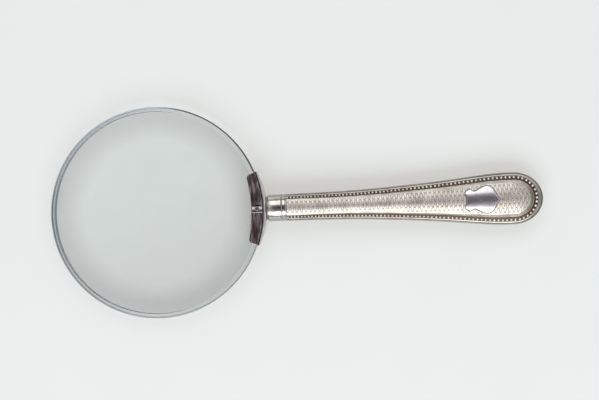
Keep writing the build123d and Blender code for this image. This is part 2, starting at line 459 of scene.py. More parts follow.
# (x, half width, border width, bead centre to edge) along the sides of the handle
SIDES = [
    (46.9, 4.78, 2.03, 1.27),
    (58.2, 4.92, 2.08, 1.31),
    (69.1, 5.16, 2.25, 1.35),
    (79.9, 5.65, 2.40, 1.39),
    (90.8, 6.38, 2.57, 1.42),
    (98.0, 6.91, 2.74, 1.45),
    (105.3, 7.58, 2.94, 1.49),
    (112.5, 8.32, 3.15, 1.53),
    (119.7, 9.05, 3.38, 1.57),
    (125.1, 9.35, 3.51, 1.60),
    (128.7, 9.38, 3.55, 1.62),
]
# On the axis, at the round end: border width, and bead centre to edge.
TIP_BORDER = 4.85
TIP_BEAD = 2.45

# The mesh: distance between ribs, ribs round the end, points from a rib's middle to its border.
STATION = 0.11
TURN_STATIONS = 100
FIELD_COLUMNS = 30

# The section, from the crown to the seam. A pair goes evenly from the neck to the wide end.
CROWN = (4.55, 3.9)
FIELD_EDGE = (3.75, 2.1)
BRIM_KNEE = (0.80, 0.88)
BRIM_SLOPE = (0.65, 0.35)
# How much gentler the border's slope is at the tip.
TIP_EASE = 0.4
SEAM_HIGH = 0.35
SHELL_WALL = 0.35
# The inner skin's points, as shares of the border and of the field.
INNER_BRIM = (0.85, 0.5)
INNER_FIELD = (0.95, 0.6, 0.3)

# The beads: (x, distance from one to the next), their size, how far they reach over the channel's
# width, and a lift over the border that gives their direction.
BEAD_PITCH = [(47.0, 1.21), (73.0, 1.32), (101.0, 1.48), (128.7, 1.55)]
BEAD_R = (0.37, 0.46)
BEAD_HIGH = (0.46, 0.54)
BEAD_RINGS = 5
BEAD_STEPS = 14
BEAD_REACH_IN = 1.12
BEAD_REACH_OUT = 1.05
BEAD_ABOVE = 0.1

# The border's relief. Across one reed: (share of its width, lift, darkening by patina).
REEDS = 2
REED_ROWS = ((0.05, -0.05, 1.0), (0.22, 0.0, 0.5), (0.4, 0.09, 0.05), (0.62, 0.13, 0.0), (0.85, 0.09, 0.1))
# The gap from the reeds to the channel, and the channel's two edges from the bead's centre.
REED_GAP = 0.06
CHANNEL_IN = (0.50, 1.06)
CHANNEL_OUT = (0.41, 0.50)
CHANNEL_DEEP = 0.24
GROOVE_TO_EDGE = 0.52
# Down the channel, band and groove: (place, distance out from it, lift, darkening by patina).
BORDER_ROWS = (
    ("reeds", 0.0, 0.0, 0.7),
    ("inner", 0.0, -0.08, 1.0),
    ("inner", 0.08, -CHANNEL_DEEP, 1.0),
    ("inner", 0.3, -0.26, 1.0),
    ("bead", -0.2, -CHANNEL_DEEP, 1.0),
    ("bead", 0.0, -CHANNEL_DEEP, 1.0),
    ("outer", -0.06, -0.20, 1.0),
    ("outer", -0.02, 0.0, 0.8),
    ("outer", 0.05, 0.06, 0.1),
    ("band", 0.0, 0.08, 0.0),
    ("groove", -0.09, 0.06, 0.15),
    ("groove", -0.02, -0.05, 1.0),
    ("groove", 0.06, -0.05, 1.0),
)
# Across the roll at the edge: (share of its width, darkening). On this convex roll the darkening is painted
# shade.
ROLL_WIDE = 0.42
ROLL_HIGH = 0.13
ROLL_START = 0.12
ROLL_ROWS = ((0.0, 0.9), (0.15, 0.5), (0.4, 0.45), (0.7, 0.95))
# Painted shade: at the round tip the border is darkened at least this much.
TIP_PAINTED_SHADE = 0.6

# The engine turning: cuts across the handle that sway, and a dot where two of them come close.
GRAIN_PITCH = 0.81
GRAIN_WAVE = 3.25
GRAIN_SWAY = 0.13
GRAIN_DEEP = 0.10
GRAIN_LINE = 0.17
GRAIN_CUT = 0.95
GRAIN_DOT = 0.33
GRAIN_DOT_FLAT = 0.3
GRAIN_DOT_SHAPE = (0.8, 1.3)
GRAIN_MARGIN = (0.15, 0.55)
GRAIN_TARNISH = 0.75
# The line round the shield: its edges as distances from the plate, and its depth.
MOAT = (0.16, 0.36)
MOAT_DEEP = 0.12
# Both are cut square to the crown, whose slope is y over this radius.
CROWN_SLOPE_R = 9

# The shield's plan, from its left: half the dipped top, then one flank from the top to the foot.
SHIELD_DIP = 0.58
SHIELD_TOP_HALF = 2.5
SHIELD_TOP_POINTS = 9
SHIELD_FLANK = (
    (0.0, 2.5), (0.75, 3.3), (1.5, 3.95), (1.85, 3.75), (2.2, 3.42), (2.7, 3.12), (3.2, 3.03),
    (3.8, 3.1), (4.5, 3.45), (5.35, 3.92), (6.8, 4.62), (7.6, 4.88), (8.24, 4.93), (9.3, 4.6),
    (10.05, 3.95), (10.6, 2.9), (11.1, 1.8), (11.65, 0.8),
)
SHIELD_FOOT = (12.4, 0.0)
SHIELD_MIDDLE = 6.6
# Its softened edge, then its top: (share of the way from the middle to the edge, height over the crown).
SHIELD_TOP = 0.095
SHIELD_EDGE = ((1.0, -0.12), (1.0, 0.02), (0.985, 0.07), (0.96, 0.09))
SHIELD_SHARES = (0.9, 0.82, 0.72, 0.6, 0.48, 0.36, 0.24, 0.12)


def smooth_table(x, column):
    """A size from SIDES at x, on a smooth curve through its values."""
    xs = np.array([row[0] for row in SIDES])
    ys = np.array([row[column] for row in SIDES])
    slopes = np.gradient(ys, xs)
    slopes[-1] = 0
    k = int(np.clip(np.searchsorted(xs, x) - 1, 0, len(xs) - 2))
    step = xs[k + 1] - xs[k]
    t = (x - xs[k]) / step
    rise = (1 + 2 * t) * (1 - t) ** 2 * ys[k] + t * t * (3 - 2 * t) * ys[k + 1]
    return rise + step * (t * (1 - t) ** 2 * slopes[k] + t * t * (t - 1) * slopes[k + 1])


def along(pair, x):
    """A size that changes evenly from the neck to the end of the handle."""
    return pair[0] + (pair[1] - pair[0]) * (min(x, END_X) - NECK_X) / (END_X - NECK_X)


class Rib:
    """One section of the handle, square to its side: from the crown over the border to the seam."""

    def __init__(self, x, turn=0.0):
        wide, border, bead = (smooth_table(x, column) for column in (1, 2, 3))
        field_wide = wide - border
        field_long = TIP_X - END_X - TIP_BORDER
        self.x = x
        self.turn = turn
        self.field = Vector((x + field_long * sin(turn), field_wide * cos(turn)))
        edge = Vector((x + (TIP_X - END_X) * sin(turn), wide * cos(turn)))
        self.border = (edge - self.field).length
        self.out = (edge - self.field).normalized()
        self.bead = self.border - (bead + (TIP_BEAD - bead) * sin(turn) ** 2)
        self.half_field = field_wide
        self.crown = along(CROWN, x)
        self.rim = along(FIELD_EDGE, x)
        sag = self.crown - self.rim
        self.crown_r = (field_wide**2 + sag**2) / (2 * sag)
        self.knee = along(BRIM_KNEE, x)
        self.knee_z = self.rim - along(BRIM_SLOPE, x) * self.knee * self.border / (1 + TIP_EASE * sin(turn))

    def field_point(self, share):
        """A point of the field at this share of the way from the middle to its edge."""
        reach = sqrt(sin(self.turn) ** 2 + (share * cos(self.turn)) ** 2) * self.half_field
        z = self.crown - self.crown_r + sqrt(self.crown_r**2 - reach**2)
        return self.field.x, self.field.y * share, z

    def brim(self, u, lift=0.0):
        """A point of the border, u mm out from the field, raised square to the surface by lift."""
        q = u / self.border
        a = self.knee
        t = (a - sqrt(max(a * a + (1 - 2 * a) * q, 0))) / (2 * a - 1)
        z = (1 - t) ** 2 * self.rim + 2 * t * (1 - t) * self.knee_z + t * t * SEAM_HIGH
        du = 2 * ((1 - 2 * t) * a + t) * self.border
        dz = 2 * ((1 - t) * (self.knee_z - self.rim) + t * (SEAM_HIGH - self.knee_z))
        long = hypot(du, dz)
        out = u - lift * dz / long
        return self.field.x + self.out.x * out, self.field.y + self.out.y * out, z + lift * du / long

    def relief(self):
        """(distance out, lift, darkening) down the border: reeds, bead channel, band, groove, roll; the
        darkening is patina, and painted shade on the roll and at the tip.
        """
        inner = self.bead - along(CHANNEL_IN, self.x)
        outer = self.bead + along(CHANNEL_OUT, self.x)
        reeds = inner - REED_GAP
        groove = self.border - GROOVE_TO_EDGE
        band = (outer + groove) / 2
        places = {
            "reeds": reeds, "inner": inner, "bead": self.bead, "outer": outer, "band": band, "groove": groove
        }
        rows = []
        for k in range(REEDS):
            for share, lift, patina_and_shade in REED_ROWS:
                rows.append(((k + share) * reeds / REEDS, lift, patina_and_shade))
        rows += [(places[name] + past, lift, patina_and_shade) for name, past, lift, patina_and_shade in BORDER_ROWS]
        for share, patina_and_shade in ROLL_ROWS:
            lift = ROLL_HIGH * sin(pi * min(share + ROLL_START, 1))
            rows.append((self.border - ROLL_WIDE + ROLL_WIDE * share, lift, patina_and_shade))
        # Painted shade at the round tip.
        tip_shade = TIP_PAINTED_SHADE * sin(self.turn) ** 2
        return [(u, lift, max(patina_and_shade, tip_shade)) for u, lift, patina_and_shade in rows]


def all_ribs():
    """The ribs of the half from the neck to the end, then round to the middle of the tip."""
    sides = [Rib(x) for x in spread(NECK_X, END_X, round((END_X - NECK_X) / STATION))]
    return sides + [Rib(END_X, turn) for turn in spread(0, pi / 2, TURN_STATIONS)[1:]]


def shield_outline():
    """The shield plate's plan: a dipped top, a scrolled ear at each corner, and a pointed foot."""
    across = spread(-SHIELD_TOP_HALF, SHIELD_TOP_HALF, SHIELD_TOP_POINTS)[1:-1]
    top = [(SHIELD_DIP * (1 - (y / SHIELD_TOP_HALF) ** 2), y) for y in across]
    lower = [(x, -y) for x, y in reversed(SHIELD_FLANK)]
    return [(shield_low.x + x, y) for x, y in [*SHIELD_FLANK, SHIELD_FOOT, *lower, *top]]


def distance_to(points, outline):
    """Distance from each point to a closed outline, below zero inside it."""
    corners = np.array(outline)
    nearest = np.full(len(points), 1e9)
    inside = np.zeros(len(points), bool)
    for a, b in zip(corners, np.roll(corners, -1, axis=0)):
        side = b - a
        t = np.clip(((points - a) @ side) / (side @ side), 0, 1)
        nearest = np.minimum(nearest, np.hypot(*(points - a - t[:, None] * side).T))
        crosses = (a[1] > points[:, 1]) != (b[1] > points[:, 1])
        rise = np.where(b[1] == a[1], 1e-9, b[1] - a[1])
        inside ^= crosses & (points[:, 0] < a[0] + (points[:, 1] - a[1]) * (b[0] - a[0]) / rise)
    return np.where(inside, -nearest, nearest)


def barleycorn(x, y):
    """Depth share of the engine turning: swaying cuts across the handle, with a dot at each pinch."""
    cuts = np.zeros_like(x)
    base = np.floor(x / GRAIN_PITCH)
    for k in (-1, 0, 1, 2):
        line = base + k
        sway = np.where(line % 2 == 0, 1, -1) * GRAIN_SWAY * np.cos(2 * pi * y / GRAIN_WAVE)
        gap = np.abs(x - line * GRAIN_PITCH - sway)
        cuts = np.maximum(cuts, GRAIN_CUT * (1 - ease(gap, 0.0, GRAIN_LINE)))
    for k in (-1, 0, 1):
        between = base + k + 0.5
        shift = np.where((base + k) % 2 == 0, 0.0, 0.5) * GRAIN_WAVE
        row = np.round((y - shift) / GRAIN_WAVE) * GRAIN_WAVE + shift
        wide, long = GRAIN_DOT_SHAPE
        gap = np.hypot((x - between * GRAIN_PITCH) / wide, (y - row) / long)
        cuts = np.maximum(cuts, 1 - ease(gap, GRAIN_DOT_FLAT * GRAIN_DOT, GRAIN_DOT))
    return cuts


def handle_points(ribs):
    """The outer skin of the front half, rib by rib: points and how dark each is painted, with patina and
    painted shade.
    """
    points, patina_and_shade_grid = [], []
    for rib in ribs:
        half = [(*rib.field_point(share), 0.0) for share in spread(0, 1, FIELD_COLUMNS + 1)]
        half += [(*rib.brim(u, lift), patina_and_shade) for u, lift, patina_and_shade in rib.relief()]
        # The seam's edge is painted dark, with patina and painted shade.
        half += [(*rib.brim(rib.border), 1.0), (*rib.brim(rib.border)[:2], 0.0, 1.0)]
        other = [(x, -y, z, patina_and_shade) for x, y, z, patina_and_shade in reversed(half[1:])]
        row = other + half
        points.append([p[:3] for p in row])
        patina_and_shade_grid.append([p[3] for p in row])
    return np.array(points), np.array(patina_and_shade_grid)


def sink_pattern(points, patina_and_shade_grid):
    """Cuts the engine turning into the field, and a line round the shield."""
    middle = points.shape[1] // 2
    field = slice(middle - FIELD_COLUMNS, middle + FIELD_COLUMNS + 1)
    part = points[:, field]
    flat = part.reshape(-1, 3)
    edge = np.repeat(part[:, -1, 1], part.shape[1])
    from_edge = edge - np.abs(flat[:, 1])
    from_tip = TIP_X - TIP_BORDER - flat[:, 0]
    room = np.minimum(from_edge, from_tip)
    cut = barleycorn(flat[:, 0] - END_X, flat[:, 1]) * ease(room, *GRAIN_MARGIN)
    moat = 1 - ease(distance_to(flat[:, :2], shield_outline()), *MOAT)
    depth = np.maximum(cut * GRAIN_DEEP, moat * MOAT_DEEP)
    slope = flat[:, 1] / CROWN_SLOPE_R
    long = np.sqrt(1 + slope**2)
    flat[:, 2] -= depth / long
    flat[:, 1] -= depth * slope / long
    points[:, field] = flat.reshape(part.shape)
    patina_and_shade_grid[:, field] = np.maximum(cut**1.5 * GRAIN_TARNISH, moat).reshape(part.shape[:2])


def inner_points(ribs):
    """The inner skin, a few points to a rib, from the +Y seam round to the -Y seam."""
    rows = []
    for rib in ribs:
        seam = rib.brim(rib.border - SHELL_WALL)
        half = [(seam[0], seam[1], 0.0)]
        half += [rib.brim(rib.border * share, -SHELL_WALL) for share in INNER_BRIM]
        for share in INNER_FIELD:
            x, y, z = rib.field_point(share)
            half.append((x, y, z - SHELL_WALL))
        x, y, z = rib.field_point(0)
        rows.append(half + [(x, 0.0, z - SHELL_WALL)] + [(x, -y, z) for x, y, z in reversed(half)])
    return np.array(rows)


def join_close_points(piece, gap=0.002, sliver=1e-7):
    """Joins points closer than gap mm, and removes faces thinner than sliver m."""
    work = bmesh.new()
    work.from_mesh(piece.data)
    bmesh.ops.remove_doubles(work, verts=work.verts, dist=gap * MM)
    bmesh.ops.dissolve_degenerate(work, edges=work.edges, dist=sliver)
    work.to_mesh(piece.data)
    work.free()


def make_shells(ribs):
    """The two struck halves of the handle, as thin shells open on the seam's plane."""
    outer, patina_and_shade_grid = handle_points(ribs)
    sink_pattern(outer, patina_and_shade_grid)
    inner = inner_points(ribs)
    rows = np.concatenate([outer, inner], axis=1)
    patina_and_shade_points = np.concatenate([patina_and_shade_grid, np.zeros(inner.shape[:2])], axis=1).ravel()
    columns = rows.shape[1]
    faces = strips(len(ribs), columns, closed_columns=True)
    faces.append(list(range(columns)))
    points = rows.reshape(-1, 3).tolist()
    made = []
    for side in ("front", "back"):
        if side == "back":
            points, faces = flip(points), turned_over(faces)
        piece = new_piece(f"{side}_shell", points, faces, [f"handle_{side}_shell"], patina_and_shade_points, 60)
        join_close_points(piece)
        made.append(piece)
    return made


def bead_places(ribs):
    """The number of the rib at each bead of one side, from beside the tip back to the neck."""
    track = [Vector(rib.brim(rib.bead)) for rib in ribs]
    places, since = [], 0.0
    for k in range(len(ribs) - 1, 0, -1):
        pitch = np.interp(ribs[k].x, *zip(*BEAD_PITCH))
        since += (track[k] - track[k - 1]).length / pitch
        if since >= 1:
            since -= 1
            places.append(k)
    return places


def bead_points(rib):
    """One bead on this rib as a dome in the channel: rings from its foot up, then its top."""
    foot = Vector(rib.brim(rib.bead, -CHANNEL_DEEP))
    up = (Vector(rib.brim(rib.bead, BEAD_ABOVE)) - foot).normalized()
    out = Vector((rib.out.x, rib.out.y, 0))
    out = (out - up * out.dot(up)).normalized()
    on = up.cross(out)
    r, high = along(BEAD_R, rib.x), along(BEAD_HIGH, rib.x)
    points = []
    for i in range(BEAD_RINGS):
        rise = pi / 2 * i / BEAD_RINGS
        flat = cos(rise) * r
        for j in range(BEAD_STEPS):
            turn = 2 * pi * j / BEAD_STEPS
            reach = BEAD_REACH_IN if cos(turn) < 0 else BEAD_REACH_OUT
            points.append(foot + flat * (reach * cos(turn) * out + sin(turn) * on) + sin(rise) * high * up)
    points.append(foot + high * up)
    return points


def bead_faces(first):
    """The faces of the bead whose points start at this number."""
    last = first + (BEAD_RINGS - 1) * BEAD_STEPS
    top = last + BEAD_STEPS
    faces = []
    for i in range(BEAD_RINGS - 1):
        for j in range(BEAD_STEPS):
            a, b = first + i * BEAD_STEPS + j, first + i * BEAD_STEPS + (j + 1) % BEAD_STEPS
            faces.append((a, b, b + BEAD_STEPS, a + BEAD_STEPS))
    faces += [(last + j, last + (j + 1) % BEAD_STEPS, top) for j in range(BEAD_STEPS)]
    faces.append(tuple(first + j for j in reversed(range(BEAD_STEPS))))
    return faces


def make_beads(ribs):
    """The row of beads in the channel, on both sides of the part."""
    points, faces = [], []
    places = [(len(ribs) - 1, 1)]
    for k in bead_places(ribs):
        places += [(k, 1), (k, -1)]
    for k, side in places:
        bead = bead_faces(len(points))
        points += [(p.x, side * p.y, p.z) for p in bead_points(ribs[k])]
        faces += turned_over(bead) if side > 0 else bead
    made = [new_piece("front_beads", points, faces, sharp=70)]
    made.append(new_piece("back_beads", flip(points), turned_over(faces), sharp=70))
    return made


def crown_height(x, y):
    """Height of the plain crown of the handle where the shield lies."""
    rib = Rib(x)
    return rib.field_point(abs(y) / rib.half_field)[2]


def make_shields():
    """The plain shield plates, following the crown, with softened edges."""
    outline = shield_outline()
    middle = Vector((shield_low.x + SHIELD_MIDDLE, 0))
    rings = [*SHIELD_EDGE, *((share, SHIELD_TOP) for share in SHIELD_SHARES)]
    points = []
    for share, lift in rings:
        for x, y in outline:
            place = middle + (Vector((x, y)) - middle) * share
            points.append((place.x, place.y, crown_height(place.x, place.y) + lift))
    faces = turned_over(strips(len(rings), len(outline), closed_columns=True))
    points.append((middle.x, 0, crown_height(middle.x, 0) + SHIELD_TOP))
    count, last = len(outline), (len(rings) - 1) * len(outline)
    faces += [(last + (j + 1) % count, last + j, len(points) - 1) for j in range(count)]
    faces.append(list(range(count)))
    made = [new_piece("front_shield_plate", points, turned_over(faces), ["front_shield"])]
    made.append(new_piece("back_shield_plate", flip(points), faces, ["back_shield"]))
    return made


# ---------------------------------------------------------------- camera, lights and floor

PICTURE_TURN = radians(2.3)
CAMERA_XY = Vector((51.58, 2.48)) * MM
CAMERA_HIGH = 300 * MM
PIXEL = 0.3615 * MM
PICTURE_WIDE = 599
SENSOR = 36

# In metres: how far the lights stand from the point they face, and half the floor's width.
LIGHT_AIM = Vector((0.05, 0, 0))
LIGHT_AWAY = 0.8
FLOOR_HALF = 12.0

# The surroundings: (sine of the height above the horizon, colour).
SKY = (
    (0.0, (0.82, 0.85, 0.84)),
    (0.04, (0.78, 0.80, 0.79)),
    (0.12, (0.45, 0.46, 0.45)),
    (0.28, (0.38, 0.39, 0.38)),
    (0.36, (0.22, 0.22, 0.22)),
    (0.42, (0.80, 0.80, 0.79)),
    (0.80, (0.68, 0.67, 0.67)),
    (0.89, (0.50, 0.48, 0.50)),
    (0.95, (0.20, 0.185, 0.20)),
    (0.985, (0.12, 0.105, 0.115)),
    (1.0, (0.05, 0.04, 0.045)),
)


def make_camera():
    """A camera straight above the part, turned a little, as the photograph's was."""
    data = bpy.data.cameras.new("camera")
    data.sensor_width = SENSOR
    data.lens = SENSOR * CAMERA_HIGH / (PIXEL * PICTURE_WIDE)
    data.clip_start = 0.01
    camera = bpy.data.objects.new("camera", data)
    camera.location = (CAMERA_XY.x, CAMERA_XY.y, CAMERA_HIGH)
    camera.rotation_euler = (0, 0, -PICTURE_TURN)
    bpy.context.scene.collection.objects.link(camera)
    bpy.context.scene.camera = camera


def make_softbox(name, side, zenith, half, long, radiance):
    """A long soft light beside the object, side +1 towards +Y, half its width as an angle."""
    light = bpy.data.lights.new(name, "AREA")
    light.shape = "RECTANGLE"
    light.size = long
    light.size_y = 2 * LIGHT_AWAY * tan(half)
    light.energy = radiance * pi * light.size * light.size_y
    softbox = bpy.data.objects.new(name, light)
    softbox.location = LIGHT_AIM + LIGHT_AWAY * Vector((0, side * sin(zenith), cos(zenith)))
    softbox.rotation_euler = (side * -zenith, 0, 0)
    bpy.context.scene.collection.objects.link(softbox)


def make_floor():
    """A wide plain board that the part lies on."""
    low = cad_box[0].z
    corners = ((-1, -1), (1, -1), (1, 1), (-1, 1))
    mesh = bpy.data.meshes.new("floor")
    mesh.from_pydata([(x * FLOOR_HALF, y * FLOOR_HALF, low) for x, y in corners], [], [(0, 1, 2, 3)])
    board = bpy.data.objects.new("floor", mesh)
    bpy.context.scene.collection.objects.link(board)
    mesh.materials.append(paper())


def make_world():
    """Pale surroundings with a darker band low down, and dark straight overhead."""
    world = bpy.data.worlds.new("world")
    bpy.context.scene.world = world
    world.use_nodes = True
    tree = world.node_tree
    split = add_node(
        tree, "ShaderNodeSeparateXYZ", _0=add_node(tree, "ShaderNodeTexCoord").outputs["Generated"]
    )
    ramp = add_node(tree, "ShaderNodeValToRGB", _0=split.outputs["Z"])
    while len(ramp.color_ramp.elements) < len(SKY):
        ramp.color_ramp.elements.new(0.5)
    for element, (place, colour) in zip(ramp.color_ramp.elements, SKY):
        element.position = place
        element.color = (*colour, 1)
    background = tree.nodes["Background"]
    background.inputs["Strength"].default_value = 1.0
    tree.links.new(ramp.outputs[0], background.inputs["Color"])


# ---------------------------------------------------------------- materials

# Sizes of the marks in the metals, in mm.
PATCH_SIZE = 5.0
SPECK_SIZE = 0.35
WEAR_SIZE = 0.8
DENT_SIZE = 1.4
SCRATCH_SIZE = 0.16
# Painted shade on the flanks of a turned part: none above the first height, full below the second.
FLANK_SHADE_HEIGHTS = (3.7, 2.4)

GLASS_IOR = 1.52
GRIT_SIZE = 0.4
GRIT_DEEP = 0.01
# How much lamp light each face of the clear glass passes, and what the board gives off by itself.
LENS_PASSES = 0.86
PAPER_GLOW = (0.388, 0.343, 0.318, 1)


def blank_material(name):
    """A new material, its node tree, and its main shader."""
    material = bpy.data.materials.new(name)
    material.use_nodes = True
    return material, material.node_tree, material.node_tree.nodes["Principled BSDF"]


def add_node(tree, kind, settings=None, **values):
    """A node with its settings, and its inputs given as values or as other nodes' outputs."""
    made = tree.nodes.new(kind)
    for key, value in (settings or {}).items():
        setattr(made, key, value)
    for key, value in values.items():
        socket = made.inputs[int(key[1:])] if key[0] == "_" else made.inputs[key.replace("_", " ")]
        if isinstance(value, bpy.types.NodeSocket):
            tree.links.new(value, socket)
        else:
            socket.default_value = value
    return made


def texture(tree, size, detail=3.0, stretch=(1, 1, 1), distortion=0.0):
    """Cloudy noise whose features are size mm across, stretched along the axes."""
    where = add_node(tree, "ShaderNodeTexCoord")
    scale = [1 / s for s in stretch]
    placed = add_node(tree, "ShaderNodeMapping", Vector=where.outputs["Object"], Scale=scale)
    noise = add_node(
        tree, "ShaderNodeTexNoise",
        Vector=placed.outputs[0], Scale=1 / (size * MM), Detail=detail, Distortion=distortion,
    )
    return noise.outputs["Fac"]


def levels(tree, value, low, high, start=0.0, end=1.0):
    """Maps low..high of a value onto start..end, clamped."""
    made = add_node(tree, "ShaderNodeMapRange", _0=value, _1=low, _2=high, _3=start, _4=end)
    return made.outputs[0]


def mixed(tree, factor, first, second, blend="MIX"):
    """A colour between two colours, or with blend MULTIPLY the first dimmed by the second."""
    made = add_node(tree, "ShaderNodeMix", {"data_type": "RGBA", "blend_type": blend}, Factor=factor)
    for socket, colour in ((made.inputs["A"], first), (made.inputs["B"], second)):
        if isinstance(colour, bpy.types.NodeSocket):
            tree.links.new(colour, socket)
        else:
            socket.default_value = (*colour, 1)
    return made.outputs["Result"]


def bumped(tree, height, distance, normal=None):
    """A surface raised by height times distance mm."""
    made = add_node(tree, "ShaderNodeBump", Height=height, Distance=distance * MM, Strength=1.0)
    if normal is not None:
        tree.links.new(normal, made.inputs["Normal"])
    return made.outputs["Normal"]


def metal(name, clean, dull, polish, dents=0.0, scratches=0.0, brushed=(1, 1, 1), patina_and_shade=None, sides=None):
    """Metal with tarnished patches, wear in its polish, soft dents and fine scratches.

    Of the last two colours, the first goes where the points are marked dark: patina in recesses, and painted
    shade on the handle's outer roll, seam and round end; sides is painted shade low down on the flanks of a
    turned part.
    """
    material, tree, shader = blank_material(name)
    patches = levels(tree, texture(tree, PATCH_SIZE, 4.0, distortion=0.6), 0.40, 0.72)
    specks = levels(tree, texture(tree, SPECK_SIZE, 2.0), 0.66, 0.74)
    # A patch goes two thirds of the way to the dull colour, and a speck all the way.
    colour = mixed(tree, patches, clean, [(c + 2 * d) / 3 for c, d in zip(clean, dull)])
    colour = mixed(tree, specks, colour, dull)
    # Darkening where the points are marked: patina, and painted shade on the handle's roll, seam and tip.
    if patina_and_shade:
        mask = add_node(tree, "ShaderNodeAttribute", {"attribute_name": "patina_and_shade"}).outputs["Fac"]
        colour = mixed(tree, mask, colour, patina_and_shade)
    # Painted shade low down on a turned part's flanks.
    if sides:
        where = add_node(tree, "ShaderNodeTexCoord").outputs["Object"]
        height = add_node(tree, "ShaderNodeSeparateXYZ", _0=where).outputs["Z"]
        height = add_node(tree, "ShaderNodeMath", {"operation": "ABSOLUTE"}, _0=height).outputs[0]
        flank_shade = levels(tree, height, *(z * MM for z in FLANK_SHADE_HEIGHTS))
        colour = mixed(tree, flank_shade, colour, sides)
    wear = levels(tree, texture(tree, WEAR_SIZE, 4.0, brushed), 0.3, 0.7, *polish)
    normal = None
    if dents:
        normal = bumped(tree, texture(tree, DENT_SIZE, 1.0), dents)
    if scratches:
        normal = bumped(tree, texture(tree, SCRATCH_SIZE, 2.0, brushed), scratches, normal)
    if normal is not None:
        tree.links.new(normal, shader.inputs["Normal"])
    tree.links.new(colour, shader.inputs["Base Color"])
    tree.links.new(wear, shader.inputs["Roughness"])
    shader.inputs["Metallic"].default_value = 1
    return material


def dull_stuff(name, light, dark, size, roughness, height):
    """A matt material in two shades, uneven in clouds of this size and height in mm."""
    material, tree, shader = blank_material(name)
    cloud = texture(tree, size, 5.0)
    colour = mixed(tree, levels(tree, cloud, 0.35, 0.65), dark, light)
    tree.links.new(colour, shader.inputs["Base Color"])
    tree.links.new(bumped(tree, cloud, height), shader.inputs["Normal"])
    shader.inputs["Roughness"].default_value = roughness
    return material


def lit_through(material, tree, shader, passes):
    """Lets lamp light straight through the glass, dimmed to passes at each face."""
    path = add_node(tree, "ShaderNodeLightPath")
    clear = add_node(tree, "ShaderNodeBsdfTransparent", Color=(passes, passes, passes, 1))
    mix = add_node(
        tree, "ShaderNodeMixShader",
        _0=path.outputs["Is Shadow Ray"], _1=shader.outputs[0], _2=clear.outputs[0],
    )
    tree.links.new(mix.outputs[0], tree.nodes["Material Output"].inputs[0])
    return material


def paper():
    """A smooth white board, which glows a little so that shadows on it stay pale."""
    material, tree, shader = blank_material("paper")
    cloud = texture(tree, 30.0, 3.0)
    white = mixed(tree, levels(tree, cloud, 0.3, 0.7), (0.446, 0.528, 0.541), (0.455, 0.536, 0.549))
    tree.links.new(white, shader.inputs["Base Color"])
    shader.inputs["Roughness"].default_value = 0.9
    shader.inputs["Emission Color"].default_value = PAPER_GLOW
    shader.inputs["Emission Strength"].default_value = 1.0
    return material


def over_lens(tree, operation, first, second):
    """A vector node of two values, for the shades that go over the lens."""
    return add_node(tree, "ShaderNodeVectorMath", {"operation": operation}, _0=first, _1=second)


def across_lens(tree, facing, start, end):
    """0 to 1 across the lens in the facing direction, between two shares of its radius."""
    where = add_node(tree, "ShaderNodeTexCoord")
    reach = over_lens(tree, "DOT_PRODUCT", where.outputs["Object"], (*facing, 0))
    return levels(tree, reach.outputs["Value"], start * LENS_R * MM, end * LENS_R * MM)


def towards_rim(tree, start, end):
    """0 to 1 outwards over the lens, between two shares of its radius squared."""
    where = add_node(tree, "ShaderNodeTexCoord")
    flat = over_lens(tree, "MULTIPLY", where.outputs["Object"], (1, 1, 0)).outputs[0]
    square = over_lens(tree, "DOT_PRODUCT", flat, flat)
    full = (LENS_R * MM) ** 2
    return levels(tree, square.outputs["Value"], start * full, end * full)


def make_glassy(tree, shader, tint, roughness):
    """Sets the shader to tinted glass."""
    tree.links.new(tint, shader.inputs["Base Color"])
    shader.inputs["Roughness"].default_value = roughness
    shader.inputs["Transmission Weight"].default_value = 1
    shader.inputs["IOR"].default_value = GLASS_IOR


def lens_glass():
    """Old clear glass with the faintest smudges, and painted shade that darkens it towards the near side and
    the rim.
    """
    material, tree, shader = blank_material("lens_glass")
    smudge = levels(tree, texture(tree, 9.0, 4.0, distortion=1.0), 0.35, 0.75)
    tint = mixed(tree, smudge, (0.89, 0.91, 0.905), (0.865, 0.89, 0.885))
    # Painted shade towards the near side.
    tint = mixed(tree, across_lens(tree, NEAR_SIDE, -0.2, 1.1), tint, (0.79, 0.81, 0.805))
    # Painted shade towards the rim.
    tint = mixed(tree, towards_rim(tree, 0.45, 0.97), tint, (0.77, 0.775, 0.785), "MULTIPLY")
    make_glassy(tree, shader, tint, 0)
    return lit_through(material, tree, shader, LENS_PASSES)


def ground_glass(name, light, dark, facing, reach, roughness, passes):
    """Ground glass with painted shade: it goes from light to dark across the lens, towards the facing
    direction.
    """
    material, tree, shader = blank_material(name)
    grit = texture(tree, GRIT_SIZE, 3.0)
    # Painted shade across the lens.
    tint = mixed(tree, across_lens(tree, facing, *reach), light, dark)
    tint = mixed(tree, levels(tree, grit, 0.4, 0.8, 0.0, 0.35), tint, [c * 0.6 for c in dark])
    make_glassy(tree, shader, tint, roughness)
    tree.links.new(bumped(tree, grit, GRIT_DEEP), shader.inputs["Normal"])
    return lit_through(material, tree, shader, passes)


# Along these directions the lens's glass is painted in shade.
# Directions over the lens: towards the picture's lower side, its dark upper right, its upper left.
NEAR_SIDE = (0.3, -0.95)
SHADED_SIDE = (cos(radians(49)), sin(radians(49)))
LEFT_AND_UP = (cos(radians(158)), sin(radians(158)))

# How scratches are stretched: along the handle, or along the clasp.
ALONG = (8, 1, 1)
ROUND_CLASP = (1, 7, 1)

# ---------------------------------------------------------------- the scene

make_camera()
make_softbox("softbox_near", side=-1, zenith=radians(51), half=radians(17), long=1.0, radiance=2.5)
make_softbox("softbox_far", side=1, zenith=radians(46), half=radians(19), long=0.62, radiance=1.0)
make_floor()
make_world()
bpy.context.scene.view_settings.view_transform = "Standard"
